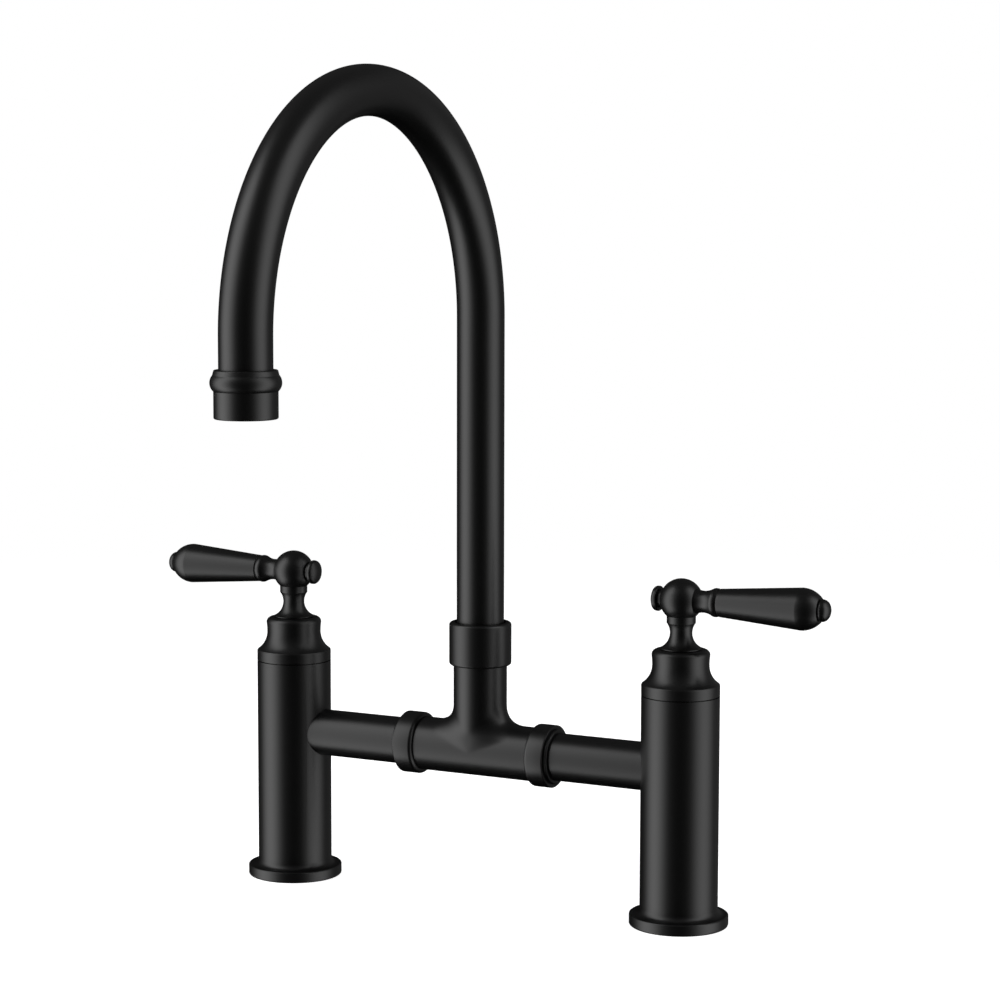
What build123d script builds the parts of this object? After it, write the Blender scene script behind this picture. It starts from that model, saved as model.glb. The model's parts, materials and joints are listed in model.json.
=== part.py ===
"""Deck-mounted bridge kitchen faucet.

Two hollow pillars stand on the deck and carry a quarter-turn ceramic valve each. A bridge of two
arm tubes, two coupling nuts and a blended tee joins them, and a swan-neck spout swivels in the tee.

Frame: millimetres, +Z up. The origin lies on the deck, midway between the pillars. +X runs from
the left pillar to the right one and +Y to the wall behind, so the spout reaches towards -Y.
Every piece that a pillar carries is drawn on the right pillar's axis, with its lever towards +X,
and is turned half round for the left pillar.
"""

import os
from math import cos, pi, radians, sin, sqrt

from build123d import *
from OCP.BRepFilletAPI import BRepFilletAPI_MakeFillet
from OCP.gp import gp_Pnt2d
from OCP.TColgp import TColgp_Array1OfPnt2d

# Layout
centre_distance = 203.0
bridge_height = 71.05
pillar_rise = 33.95
tee_rise = 47.35
spout_reach = 200.8
riser_length = 150.9
down_leg_length = 21.9

# Clearances
running_gap = 0.06
assembly_gap = 0.1
turning_gap = 0.3

# Tubes of the arms and the spout
tube_radius = 11.0
arm_wall = 2.0
spout_wall = 1.1

# Pillar
pillar_radius = 17.7
flange_overhang = 4.8
flange_thickness = 5.3
flange_foot_round = 1.0
flange_rim_round = 0.6
flange_cove = 3.0
inlet_radius = 9.5
inlet_depth = 14.0
waterway_radius = 6.0
seat_ledge = 0.55
nest_depth = 8.2
port_radius = 8.5
arm_seat_wall = 2.0
gasket_inset = 0.5
gasket_width = 2.6
gasket_thickness = 1.6

# Valve
washer_thickness = 2.5
disc_radius = 7.0
disc_thickness = 3.0
disc_hole_inner_radius = 1.8
disc_hole_outer_radius = 5.8
disc_hole_angle = 72.0
disc_notch_width = 2.6
disc_notch_depth = 1.2
disc_notch_inner_radius = 4.6
cage_wall = 1.74
cage_window_height = 7.0
cage_window_width = 9.0
cage_window_rise = 2.0
chamber_gap = 1.6
ring_groove_depth = 0.9
ring_groove_rise = 3.0
valve_thread_rise = 1.5
valve_thread_gap = 0.12
valve_flange_overhang = 2.2
valve_flange_thickness = 1.5
hex_across_flats = 20.5
hex_thickness = 5.5
valve_neck_radius = 6.8
valve_neck_height = 8.0
spindle_radius = 4.5
spindle_foot_height = 12.0
spindle_slot_width = 6.4
spindle_slot_height = 8.5
spindle_ring_section = 1.1
spindle_ring_rise = 7.47
spindle_ring_pitch = 6.0
circlip_thickness = 0.8
circlip_radius = 6.0
circlip_mouth = 5.0
circlip_groove_depth = 0.6
spline_radius = 4.0
spline_depth = 0.35
spline_teeth = 20
spline_web = 3.3

# Bonnet
bonnet_seam_height = 0.5
bonnet_seam_depth = 1.3
bonnet_band_height = 4.7
bonnet_band_round = 0.7
bonnet_waist_radius = 12.85
cavetto_height = 8.65
cavetto_radius = 10.4
waist_length = 4.6
shoulder_swell = 0.3
shoulder_round = 2.4
spigot_wall = 1.6
spigot_gap = 1.5
hex_side_gap = 0.56
hex_headroom = 4.0
bonnet_wall = 2.45
bonnet_roof_thickness = 5.5
glide_ring_wall = 1.4
glide_ring_flange = 1.4
glide_ring_flange_thickness = 1.0

# Handle hub
journal_radius = 6.0
hub_neck_radius = 5.03
hub_flare_height = 7.2
hub_flare_radius = 9.4
hub_flare_edge = 0.35
hub_neck_length = 4.3
hub_collar_radius = 6.55
hub_collar_height = 3.23
hub_collar_round = 0.5
ball_radius = 9.75
lever_facet = 2.15
finial_facet = 1.3
stud_radius = 2.5
stud_depth = 6.6
finial_stud_radius = 2.0
finial_stud_length = 5.0
grub_radius = 1.25
grub_length = 2.1
grub_key_radius = 0.75
grub_key_depth = 1.0

# Lever
ferrule_neck_radius = 4.92
ferrule_neck_length = 3.3
ferrule_flare_radius = 6.05
ferrule_flare_length = 4.4
ferrule_bead_length = 3.2
ferrule_bead_sweep = 3.0
grip_seam = 0.2
grip_start_radius = 6.35
grip_edge = 0.35
grip_widest_radius = 9.46
grip_taper_length = 38.6
grip_nose_length = 8.6
grip_end_radius = 5.65
cap_neck_radius = 4.55
cap_radius = 4.98
cap_flare_length = 1.1
cap_barrel_length = 2.7
cap_brow_round = 3.2
cap_brow_radius = 3.3
cap_crown = 0.9
rod_end_depth = 2.1

# Finial
finial_neck_radius = 4.1
finial_neck_length = 1.9
finial_radius = 5.7
finial_edge_round = 0.5
finial_disc_length = 1.6
finial_face_step = 1.05
finial_crown = 1.0

# Bridge
arm_flange_step = 0.2
arm_flange_thickness = 1.7
tee_wall_step = 1.5
tee_branch_step = 0.05
tee_bore = 9.0
tee_half_length = 34.5
tee_blend = 8.0
tee_front_blend = 24.0
tee_blend_stations = 33
coupling_washer_thickness = 1.0
nut_overlap = 3.5
nut_width = 7.75
nut_wall = 1.9
nut_round = 0.45
nut_inner_lip_wall = 1.0
nut_inner_lip_taper = 0.6
nut_inner_lip_length = 2.2
nut_outer_lip_wall = 0.75
nut_outer_lip_taper = 0.35
nut_outer_lip_length = 1.0
nut_throat_wall = 1.05
nut_throat_taper = 0.3
nut_throat_length = 0.85
nut_mouth = 0.25

# Spout
shank_wall = 2.04
shank_socket_wall = 2.95
shank_socket_depth = 21.0
shank_spigot_length = 12.0
shank_flange_thickness = 2.2
shank_ring_section = 1.4
shank_ring_width = 2.2
shank_ring_drops = (8.0, 15.0)
thrust_washer_thickness = 0.8
collar_wall = 1.89
collar_skirt = 7.5
collar_height = 20.1
collar_round = 1.4
glide_bush_wall = 0.94
glide_bush_recess = 1.2

# Outlet
outlet_step = 2.0
outlet_round = 0.7
skirt_height = 11.0
bead_swell = 1.5
bead_height = 6.9
outlet_lip_flare = 0.42
outlet_lip_height = 1.7
outlet_lip_round = 0.6
outlet_shelf_rise = 9.2
outlet_shelf_thickness = 1.2
housing_wall = 1.1
aerator_recess = 0.9
aerator_skin = 1.5
aerator_shelf = 1.6
aerator_washer_thickness = 1.2
aerator_washer_bore = 8.5
screen_thickness = 0.8
screen_hole_radius = 1.3
screen_pitch = 3.4
mixer_plate_thickness = 1.5
mixer_hole_radius = 0.9
mixer_hole_count = 10
mixer_hole_circle = 7.0

# Pillar and valve: what follows from the sizes above
pillar_height = bridge_height + pillar_rise
flange_radius = pillar_radius + flange_overhang
seat_height = bridge_height - port_radius - seat_ledge
nest_floor = pillar_height - nest_depth
cage_bore = disc_radius + running_gap
cage_radius = cage_bore + cage_wall
chamber_radius = cage_radius + chamber_gap
arm_seat = chamber_radius + arm_seat_wall
disc_height = seat_height + washer_thickness
moving_disc_height = disc_height + disc_thickness + running_gap / 2
spindle_foot_bottom = moving_disc_height + disc_thickness
spindle_foot_top = spindle_foot_bottom + spindle_foot_height
valve_ring_bottom = spindle_foot_top + ring_groove_rise
valve_ring_section = chamber_gap + ring_groove_depth
valve_thread_bottom = valve_ring_bottom + valve_ring_section + valve_thread_rise
valve_flange_top = nest_floor + valve_flange_thickness
hex_top = valve_flange_top + hex_thickness
valve_top = hex_top + valve_neck_height

# Bonnet and handle
spigot_bottom = valve_flange_top + spigot_gap
spigot_bore = hex_across_flats / 2 / cos(radians(30)) + hex_side_gap
spigot_radius = spigot_bore + spigot_wall
nest_radius = spigot_radius + assembly_gap
bonnet_band_top = pillar_height + bonnet_band_height
bonnet_waist_height = bonnet_band_top + bonnet_band_round + cavetto_height
shoulder_radius = bonnet_waist_radius + shoulder_swell
shoulder_height = bonnet_waist_height + waist_length + shoulder_round
bonnet_bore = bonnet_waist_radius - bonnet_wall
bonnet_roof_height = shoulder_height - bonnet_roof_thickness
glide_ring_inner = journal_radius + assembly_gap
glide_ring_outer = glide_ring_inner + glide_ring_wall
hub_underside = shoulder_height + turning_gap
hub_neck_height = hub_underside + hub_flare_height
hub_collar_bottom = hub_neck_height + hub_neck_length
ball_foot = hub_collar_bottom + hub_collar_height
lever_height = ball_foot + sqrt(ball_radius**2 - hub_collar_radius**2)
spline_top = lever_height - stud_radius - spline_web
lever_seat = ball_radius - lever_facet
ferrule_neck_reach = lever_seat + ferrule_neck_length
ferrule_flare_reach = ferrule_neck_reach + ferrule_flare_length
ferrule_end = ferrule_flare_reach + ferrule_bead_length
grip_start = ferrule_end + grip_seam
grip_widest_reach = grip_start + grip_taper_length
grip_end = grip_widest_reach + grip_nose_length
rod_end = grip_end + rod_end_depth
finial_seat = ball_radius - finial_facet

# Bridge and spout
tee_top = bridge_height + tee_rise
tee_run_radius = tube_radius + tee_wall_step
tee_branch_radius = tee_run_radius - tee_branch_step
arm_bore = tube_radius - arm_wall
arm_flange_radius = tee_run_radius - arm_flange_step
arm_start = tee_half_length + coupling_washer_thickness
nut_start = tee_half_length - nut_overlap
nut_bore = tee_run_radius + assembly_gap
spout_bore = tube_radius - spout_wall
arch_radius = spout_reach / 2
socket_radius = tee_branch_radius - shank_socket_wall
shank_journal = socket_radius - running_gap
shank_shoulder = tee_top + thrust_washer_thickness
spout_foot = shank_shoulder + shank_flange_thickness
collar_bottom = tee_top - collar_skirt
collar_top = collar_bottom + collar_height
glide_bush_bottom = spout_foot + turning_gap
glide_bush_bore = tube_radius + running_gap
collar_mouth = glide_bush_bore + glide_bush_wall
arch_height = spout_foot + riser_length
tube_end = arch_height - down_leg_length
outlet_shelf_height = tube_end - outlet_shelf_thickness
outlet_height = outlet_shelf_height - outlet_shelf_rise
outlet_radius = tube_radius + outlet_step
bead_bottom = outlet_height + skirt_height
bead_top = bead_bottom + bead_height
aerator_bore = outlet_radius - housing_wall
aerator_radius = aerator_bore - assembly_gap
aerator_bottom = outlet_height + aerator_recess
aerator_top = outlet_shelf_height - aerator_washer_thickness


def turned(start, *legs):
    """Solid of revolution about Z from an outline in (radius, height), drawn anticlockwise.

    A leg (radius, height) is a straight run. A third value makes it an arc of that radius, which
    swells out of the solid when it is positive and hollows the solid when it is negative.
    """
    edges = []
    here = start
    for leg in (*legs, start):
        there = leg[:2]
        if len(leg) == 3:
            edges.append(RadiusArc(here, there, -leg[2]))
        elif there != here:
            edges.append(Line(here, there))
        here = there
    return revolve(Plane.XZ * make_face(edges), Axis.Z)


def arc_radius(rise, run):
    """Radius of the arc that starts along its run and has risen by rise at the run's end."""
    return (rise**2 + run**2) / (2 * rise)


def column(radius, bottom, top):
    """Round bar on the Z axis between two heights."""
    return turned((0, bottom), (radius, bottom), (radius, top), (0, top))


def tube(inner, outer, bottom, top):
    """Plain round tube on the Z axis between two heights."""
    return turned((inner, bottom), (outer, bottom), (outer, top), (inner, top))


def seal_ring(inner, section, bottom, height=None):
    """Compressed O-ring: its sides are flattened by the groove and the wall around it."""
    top = bottom + (height or section)
    edge = section / 3
    return turned(
        (inner, bottom + edge),
        (inner + edge, bottom, edge),
        (inner + section - edge, bottom),
        (inner + section, bottom + edge, edge),
        (inner + section, top - edge),
        (inner + section - edge, top, edge),
        (inner + edge, top),
        (inner, top - edge, edge),
    )


def along_x(part, height=0.0, direction=1):
    """Lay a part that was turned about Z along +X or -X, at a height."""
    return Pos(0, 0, height) * Rot(0, 90 * direction, 0) * part


def on_pillar(side):
    """Place of a pillar's pieces: side is 1 on the right and -1 on the left."""
    return on_bridge(side) * Pos(centre_distance / 2, 0, 0)


def on_bridge(side):
    """Half turn about the spout's axis for the pieces on the left."""
    return Rot(0, 0, 0 if side > 0 else 180)


# Pillar pieces


def pillar():
    """Turned column with its foot flange, bored from below for the supply and from above for the valve."""
    body = turned(
        (0, 0),
        (flange_radius - flange_foot_round, 0),
        (flange_radius, flange_foot_round, flange_foot_round),
        (flange_radius, flange_thickness - flange_rim_round),
        (flange_radius - flange_rim_round, flange_thickness, flange_rim_round),
        (pillar_radius + flange_cove, flange_thickness),
        (pillar_radius, flange_thickness + flange_cove, -flange_cove),
        (pillar_radius, pillar_height),
        (0, pillar_height),
    )
    body -= column(inlet_radius, 0, inlet_depth)
    body -= column(waterway_radius, inlet_depth, seat_height)
    body -= column(chamber_radius, seat_height, nest_floor)
    body -= column(nest_radius, nest_floor, pillar_height)
    gasket_inner = pillar_radius - gasket_inset
    groove_outer = gasket_inner + gasket_width + assembly_gap
    body -= tube(gasket_inner - assembly_gap, groove_outer, 0, gasket_thickness)
    socket = column(tube_radius + assembly_gap, arm_seat, flange_radius)
    port = column(port_radius, 0, arm_seat)
    body -= along_x(socket, bridge_height, -1)
    return body - along_x(port, bridge_height, -1)


def base_gasket():
    """Rubber ring in the flange's groove, flush with the deck."""
    inner = pillar_radius - gasket_inset
    return tube(inner, inner + gasket_width, 0, gasket_thickness)


def bonnet():
    """Bell over the valve: band with a seam below it, hollow curve, waist and rounded shoulder."""
    seam_top = pillar_height + bonnet_seam_height
    brow_radius = pillar_radius - bonnet_band_round / 3
    waist_sweep = arc_radius(shoulder_swell, waist_length)
    bore_step = hex_top + hex_headroom
    shell = turned(
        (0, spigot_bottom),
        (spigot_radius, spigot_bottom),
        (spigot_radius, pillar_height),
        (pillar_radius - bonnet_seam_depth, pillar_height),
        (pillar_radius - bonnet_seam_depth, seam_top),
        (pillar_radius, seam_top),
        (pillar_radius, bonnet_band_top),
        (brow_radius, bonnet_band_top + bonnet_band_round, 2 * bonnet_band_round),
        (bonnet_waist_radius, bonnet_waist_height, -cavetto_radius),
        (shoulder_radius, bonnet_waist_height + waist_length, -waist_sweep),
        (shoulder_radius - shoulder_round, shoulder_height, shoulder_round),
        (0, shoulder_height),
    )
    shell -= column(spigot_bore, spigot_bottom, bore_step)
    shell -= column(bonnet_bore, bore_step, bonnet_roof_height)
    return shell - column(glide_ring_outer, bonnet_roof_height, shoulder_height)


def glide_ring():
    """Flanged plastic bush in the bonnet's roof, in which the handle's journal turns."""
    flange_outer = glide_ring_outer + glide_ring_flange
    sleeve = tube(glide_ring_inner, glide_ring_outer, bonnet_roof_height, shoulder_height - assembly_gap)
    flange_bottom = bonnet_roof_height - glide_ring_flange_thickness
    return sleeve + tube(glide_ring_inner, flange_outer, flange_bottom, bonnet_roof_height)


# Valve pieces


def disc_openings(bottom, top):
    """Two opposite sectors through a ceramic disc."""
    width = disc_hole_outer_radius - disc_hole_inner_radius
    face = Plane.XZ * Pos(disc_hole_inner_radius + width / 2, (bottom + top) / 2) * Rectangle(width, top - bottom)
    sector = Rot(0, 0, -disc_hole_angle / 2) * revolve(face, Axis.Z, disc_hole_angle)
    return sector + Rot(0, 0, 180) * sector


def driver_lugs(width, depth, inner, outer, bottom):
    """Two opposite keys, along Y."""
    key = Pos(0, (inner + outer) / 2, bottom + depth / 2) * Box(width, outer - inner, depth)
    return key + Rot(0, 0, 180) * key


def seat_washer():
    """Rubber washer that the valve presses on the pillar's seat."""
    return tube(waterway_radius, cage_radius, seat_height, disc_height)


def fixed_disc():
    """Ceramic disc with two ports, held in the cage."""
    return column(disc_radius, disc_height, disc_height + disc_thickness) - disc_openings(
        disc_height, disc_height + disc_thickness
    )


def moving_disc():
    """Ceramic disc that the spindle turns over the fixed one, shown closed."""
    top = moving_disc_height + disc_thickness
    disc = column(disc_radius - running_gap, moving_disc_height, top)
    disc -= Rot(0, 0, 90) * disc_openings(moving_disc_height, top)
    notch_bottom = top - disc_notch_depth
    notches = driver_lugs(
        disc_notch_width, disc_notch_depth, disc_notch_inner_radius, disc_radius + running_gap, notch_bottom
    )
    return disc - Rot(0, 0, 90) * notches


def valve_body():
    """Brass headwork: cage with two windows, seal groove, threaded barrel, hexagon and neck."""
    barrel_radius = chamber_radius - valve_thread_gap
    groove_radius = cage_radius - ring_groove_depth
    valve_flange_radius = chamber_radius + valve_flange_overhang
    ring_top = valve_ring_bottom + valve_ring_section + assembly_gap
    body = turned(
        (0, disc_height),
        (cage_radius, disc_height),
        (cage_radius, valve_ring_bottom - assembly_gap),
        (groove_radius, valve_ring_bottom - assembly_gap),
        (groove_radius, ring_top),
        (cage_radius, ring_top),
        (cage_radius, valve_thread_bottom),
        (barrel_radius, valve_thread_bottom),
        (barrel_radius, nest_floor),
        (valve_flange_radius, nest_floor),
        (valve_flange_radius, valve_flange_top),
        (valve_neck_radius, valve_flange_top),
        (valve_neck_radius, valve_top),
        (0, valve_top),
    )
    nut = RegularPolygon(hex_across_flats / 2, 6, major_radius=False)
    body += Pos(0, 0, valve_flange_top) * extrude(nut, hex_thickness)
    body -= column(cage_bore, disc_height, spindle_foot_top + assembly_gap)
    body -= column(spindle_radius + running_gap, spindle_foot_top, valve_top)
    window = Box(4 * cage_radius, cage_window_width, cage_window_height)
    window_middle = spindle_foot_bottom + cage_window_rise + cage_window_height / 2
    return body - Pos(0, 0, window_middle) * window


def valve_ring():
    """Rubber O-ring between the cage and the pillar's chamber."""
    return seal_ring(cage_radius - ring_groove_depth, valve_ring_section, valve_ring_bottom)


def spline_bar(bottom, top):
    """Serrated end of the spindle: a loop of teeth round a circle."""
    points = []
    for step in range(2 * spline_teeth):
        reach = spline_radius - (step % 2) * spline_depth
        turn = pi * step / spline_teeth
        points.append((reach * cos(turn), reach * sin(turn)))
    outline = make_face(Polyline(*points, close=True))
    return Pos(0, 0, bottom) * extrude(outline, top - bottom)


def spindle():
    """Brass spindle: forked foot with two driver lugs, sealed shaft, clip groove and serrated end."""
    foot_radius = disc_radius - assembly_gap
    ring_inner = spindle_radius - spindle_ring_section
    clip_bottom = valve_top + assembly_gap
    clip_top = clip_bottom + circlip_thickness
    shaft = column(foot_radius, spindle_foot_bottom, spindle_foot_top)
    shaft += column(spindle_radius, spindle_foot_top, clip_top + circlip_thickness)
    slot = Box(spindle_slot_width, 4 * disc_radius, spindle_slot_height)
    shaft -= Pos(0, 0, spindle_foot_bottom + spindle_slot_height / 2) * slot
    lugs = driver_lugs(
        disc_notch_width - 2 * assembly_gap,
        disc_notch_depth - assembly_gap,
        disc_notch_inner_radius + assembly_gap,
        foot_radius - assembly_gap,
        spindle_foot_bottom - disc_notch_depth + assembly_gap,
    )
    shaft += Rot(0, 0, 90) * lugs
    for bottom in spindle_ring_bottoms():
        shaft -= tube(ring_inner, 2 * spindle_radius, bottom, bottom + spindle_ring_section + assembly_gap)
    clip_inner = spindle_radius - circlip_groove_depth
    shaft -= tube(clip_inner, 2 * spindle_radius, clip_bottom, clip_top)
    return shaft + spline_bar(clip_top + circlip_thickness, spline_top)


def spindle_ring_bottoms():
    """Heights of the spindle's two seal grooves."""
    lower = spindle_foot_top + spindle_ring_rise
    return (lower, lower + spindle_ring_pitch)


def spindle_rings():
    """The two O-rings in the spindle's grooves."""
    inner = spindle_radius - spindle_ring_section
    lower, upper = spindle_ring_bottoms()
    ring = seal_ring(inner, spindle_ring_section, lower)
    return ring + Pos(0, 0, upper - lower) * ring


def circlip():
    """Open clip that keeps the spindle in the valve body."""
    bottom = valve_top + assembly_gap
    inner = spindle_radius - circlip_groove_depth
    clip = tube(inner, circlip_radius, bottom, bottom + circlip_thickness)
    mouth = Box(2 * circlip_radius, circlip_mouth, 4 * circlip_thickness)
    return clip - Pos(circlip_radius, 0, bottom) * mouth


# Handle pieces


def hub(side):
    """Trumpet-shaped stem, collar and ball in one casting, with its journal in the glide ring."""
    flare_height = hub_underside + hub_flare_edge
    flare = arc_radius(hub_flare_radius - hub_neck_radius, hub_neck_height - flare_height)
    neck_rise = hub_collar_bottom - hub_neck_height
    neck_top_radius = hub_neck_radius + flare - sqrt(flare**2 - neck_rise**2)
    body = turned(
        (0, bonnet_roof_height),
        (journal_radius, bonnet_roof_height),
        (journal_radius, hub_underside),
        (hub_flare_radius, hub_underside),
        (hub_flare_radius, flare_height),
        (hub_neck_radius, hub_neck_height, -flare),
        (neck_top_radius, hub_collar_bottom, -flare),
        (hub_collar_radius, hub_collar_bottom + hub_collar_round, hub_collar_round),
        (hub_collar_radius, ball_foot),
        (0, lever_height + ball_radius, ball_radius),
    )
    body -= column(spline_radius + assembly_gap, bonnet_roof_height, spline_top + turning_gap)
    lever_cut = column(ball_radius, lever_seat, 2 * ball_radius)
    lever_cut += column(stud_radius, lever_seat - stud_depth, lever_seat)
    finial_cut = column(ball_radius, finial_seat, 2 * ball_radius)
    finial_cut += column(finial_stud_radius, finial_seat - finial_stud_length, finial_seat)
    body -= along_x(lever_cut, lever_height)
    body -= along_x(finial_cut, lever_height, -1)
    return body - grub_hole(side)


def grub_axis(side):
    """Frame of the grub screw, at the back of the collar: its Z runs outwards."""
    return Pos(0, 0, hub_collar_bottom + hub_collar_height / 2) * Rot(-90 * side, 0, 0)


def grub_hole(side):
    """Tapped hole through the collar's rear wall."""
    return grub_axis(side) * column(grub_radius, spline_radius, 2 * hub_collar_radius)


def grub_screw(side):
    """Short screw that grips the spindle, with a hexagon socket."""
    outer = hub_collar_radius - 2 * assembly_gap
    screw = column(grub_radius, outer - grub_length, outer)
    key = extrude(RegularPolygon(grub_key_radius, 6), grub_key_depth)
    return grub_axis(side) * (screw - Pos(0, 0, outer - grub_key_depth) * key)


def finial():
    """Button opposite the lever: narrow neck and a domed disc, on a short stud."""
    neck_end = finial_seat + finial_neck_length
    disc_end = neck_end + finial_disc_length
    face_radius = finial_radius - finial_face_step
    face_reach = disc_end + finial_face_step
    brow = arc_radius(finial_face_step, finial_face_step + finial_edge_round)
    body = turned(
        (0, finial_seat - finial_stud_length),
        (finial_stud_radius, finial_seat - finial_stud_length),
        (finial_stud_radius, finial_seat),
        (finial_neck_radius, finial_seat),
        (finial_neck_radius, neck_end),
        (finial_radius - finial_edge_round, neck_end),
        (finial_radius, neck_end + finial_edge_round, finial_edge_round),
        (finial_radius, disc_end - finial_edge_round),
        (face_radius, face_reach, brow),
        (0, face_reach + finial_crown, arc_radius(finial_crown, face_radius)),
    )
    return along_x(body, lever_height, -1)


def ferrule():
    """Waisted neck between the ball and the grip, with a bead at its end."""
    hollow = arc_radius(ferrule_flare_radius - ferrule_neck_radius, ferrule_flare_length)
    start_radius = ferrule_neck_radius + hollow - sqrt(hollow**2 - ferrule_neck_length**2)
    body = turned(
        (0, lever_seat),
        (start_radius, lever_seat),
        (ferrule_neck_radius, ferrule_neck_reach, -hollow),
        (ferrule_flare_radius, ferrule_flare_reach, -hollow),
        (ferrule_flare_radius, ferrule_end, ferrule_bead_sweep),
        (0, ferrule_end),
    )
    body -= column(stud_radius + assembly_gap, lever_seat, ferrule_end)
    return along_x(body, lever_height)


def grip():
    """Tapered handle with a rounded end."""
    ogive = arc_radius(grip_widest_radius - grip_end_radius, grip_nose_length)
    body = turned(
        (0, grip_start),
        (grip_start_radius - grip_edge, grip_start),
        (grip_start_radius, grip_start + grip_edge, grip_edge),
        (grip_widest_radius, grip_widest_reach),
        (grip_end_radius, grip_end, ogive),
        (0, grip_end),
    )
    body -= column(stud_radius + assembly_gap, grip_start, grip_end)
    return along_x(body, lever_height)


def lever_rod():
    """Threaded rod from the ball through ferrule and grip to the end cap."""
    bar = column(stud_radius, lever_seat - stud_depth, rod_end)
    return along_x(bar, lever_height)


def end_cap():
    """Small domed nut that closes the grip."""
    flare_end = grip_end + cap_flare_length
    brow_reach = flare_end + cap_barrel_length
    body = turned(
        (0, grip_end),
        (cap_neck_radius, grip_end),
        (cap_radius, flare_end, 2 * cap_flare_length),
        (cap_brow_radius, brow_reach, cap_brow_round),
        (0, brow_reach + cap_crown, arc_radius(cap_crown, cap_brow_radius)),
    )
    body -= column(stud_radius, grip_end, rod_end)
    return along_x(body, lever_height)


# Bridge pieces


def arm_tube():
    """Tube from the pillar's socket to the coupling, where its flange is held."""
    end = centre_distance / 2 - arm_seat
    body = turned(
        (arm_bore, arm_start),
        (arm_flange_radius, arm_start),
        (arm_flange_radius, arm_start + arm_flange_thickness),
        (tube_radius, arm_start + arm_flange_thickness),
        (tube_radius, end),
        (arm_bore, end),
    )
    return along_x(body, bridge_height)


def coupling_washer():
    """Flat seal between the tee's end and the arm's flange."""
    return along_x(tube(arm_bore, arm_flange_radius, tee_half_length, arm_start), bridge_height)


def coupling_nut():
    """Round nut with stepped and tapered lips on its faces, threaded on the tee."""
    nut_radius = nut_bore + nut_wall
    nut_end = nut_start + nut_width
    inner_lip = nut_start - nut_inner_lip_length
    inner_lip_radius = nut_bore + nut_inner_lip_wall
    outer_lip = nut_end + nut_outer_lip_length
    outer_lip_radius = nut_bore + nut_outer_lip_wall
    throat = outer_lip + nut_throat_length
    throat_bore = tube_radius + assembly_gap
    throat_radius = throat_bore + nut_throat_wall
    bearing = arm_start + arm_flange_thickness
    body = turned(
        (nut_bore + nut_mouth, inner_lip),
        (inner_lip_radius - nut_inner_lip_taper, inner_lip),
        (inner_lip_radius, nut_start),
        (nut_radius - nut_round, nut_start),
        (nut_radius, nut_start + nut_round, nut_round),
        (nut_radius, nut_end - nut_round),
        (nut_radius - nut_round, nut_end, nut_round),
        (outer_lip_radius, nut_end),
        (outer_lip_radius - nut_outer_lip_taper, outer_lip),
        (throat_radius, outer_lip),
        (throat_radius - nut_throat_taper, throat),
        (throat_bore + nut_mouth, throat),
        (throat_bore, throat - nut_mouth),
        (throat_bore, bearing),
        (nut_bore, bearing),
        (nut_bore, inner_lip + nut_mouth),
    )
    return along_x(body, bridge_height)


def tee_blend_radius(place):
    """Radius of the tee's blend at a place on its seam: tight at the sides, wide at the front and back."""
    share = min(abs(place.X) / tee_branch_radius, 1)
    return 1 / sqrt((share / tee_blend) ** 2 + (1 - share**2) / tee_front_blend**2)


def blended(body, seam):
    """Round the tee's seam with a ball that changes its radius as it rolls along."""
    radii = TColgp_Array1OfPnt2d(1, tee_blend_stations)
    for station in range(tee_blend_stations):
        share = station / (tee_blend_stations - 1)
        radii.SetValue(station + 1, gp_Pnt2d(seam.param_at(share), tee_blend_radius(seam @ share)))
    maker = BRepFilletAPI_MakeFillet(body.wrapped)
    maker.Add(radii, seam.wrapped)
    return Compound.cast(maker.Shape())


def tee():
    """Cast tee: the branch grows out of the run in one rolling blend, then both are bored."""
    run = along_x(column(tee_run_radius, -tee_half_length, tee_half_length), bridge_height)
    branch = column(tee_branch_radius, bridge_height, tee_top)
    body = run + branch
    for seam in [edge for edge in body.edges() if edge.geom_type not in (GeomType.LINE, GeomType.CIRCLE)]:
        body = blended(body, seam)
    body -= along_x(column(tee_bore, -tee_half_length, tee_half_length), bridge_height)
    body -= column(tee_bore, bridge_height, tee_top)
    return body - column(socket_radius, tee_top - shank_socket_depth, tee_top)


# Spout pieces


def swivel_collar():
    """Retaining nut round the branch: it holds the spout's flange down and leaves it free to turn."""
    thread_radius = tee_branch_radius + assembly_gap + running_gap
    collar_radius = thread_radius + collar_wall
    return turned(
        (thread_radius, collar_bottom),
        (collar_radius - collar_round, collar_bottom),
        (collar_radius, collar_bottom + collar_round, collar_round),
        (collar_radius, collar_top - collar_round),
        (collar_radius - collar_round, collar_top, collar_round),
        (collar_mouth, collar_top),
        (collar_mouth, glide_bush_bottom),
        (thread_radius, glide_bush_bottom),
    )


def glide_bush():
    """Plastic bush between the collar and the riser."""
    return tube(glide_bush_bore, collar_mouth, glide_bush_bottom, collar_top - glide_bush_recess)


def thrust_washer():
    """Plastic washer under the spout's flange."""
    return tube(socket_radius + assembly_gap, tee_branch_radius, tee_top, shank_shoulder - running_gap)


def spout_shank():
    """Brass shank in the spout's foot: spigot, flange, and a journal with two seal grooves."""
    bore = shank_journal - shank_wall
    spigot_radius = spout_bore - running_gap
    bottom = tee_top - shank_socket_depth + turning_gap
    body = turned(
        (bore, bottom),
        (shank_journal, bottom),
        (shank_journal, shank_shoulder),
        (tee_branch_radius, shank_shoulder),
        (tee_branch_radius, spout_foot),
        (spigot_radius, spout_foot),
        (spigot_radius, spout_foot + shank_spigot_length),
        (bore, spout_foot + shank_spigot_length),
    )
    for ring_bottom in shank_ring_bottoms():
        groove_top = ring_bottom + shank_ring_width + assembly_gap
        body -= tube(shank_journal - shank_ring_section, 2 * shank_journal, ring_bottom, groove_top)
    return body


def shank_ring_bottoms():
    """Heights of the two seal grooves in the shank."""
    return [tee_top - drop for drop in shank_ring_drops]


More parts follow.
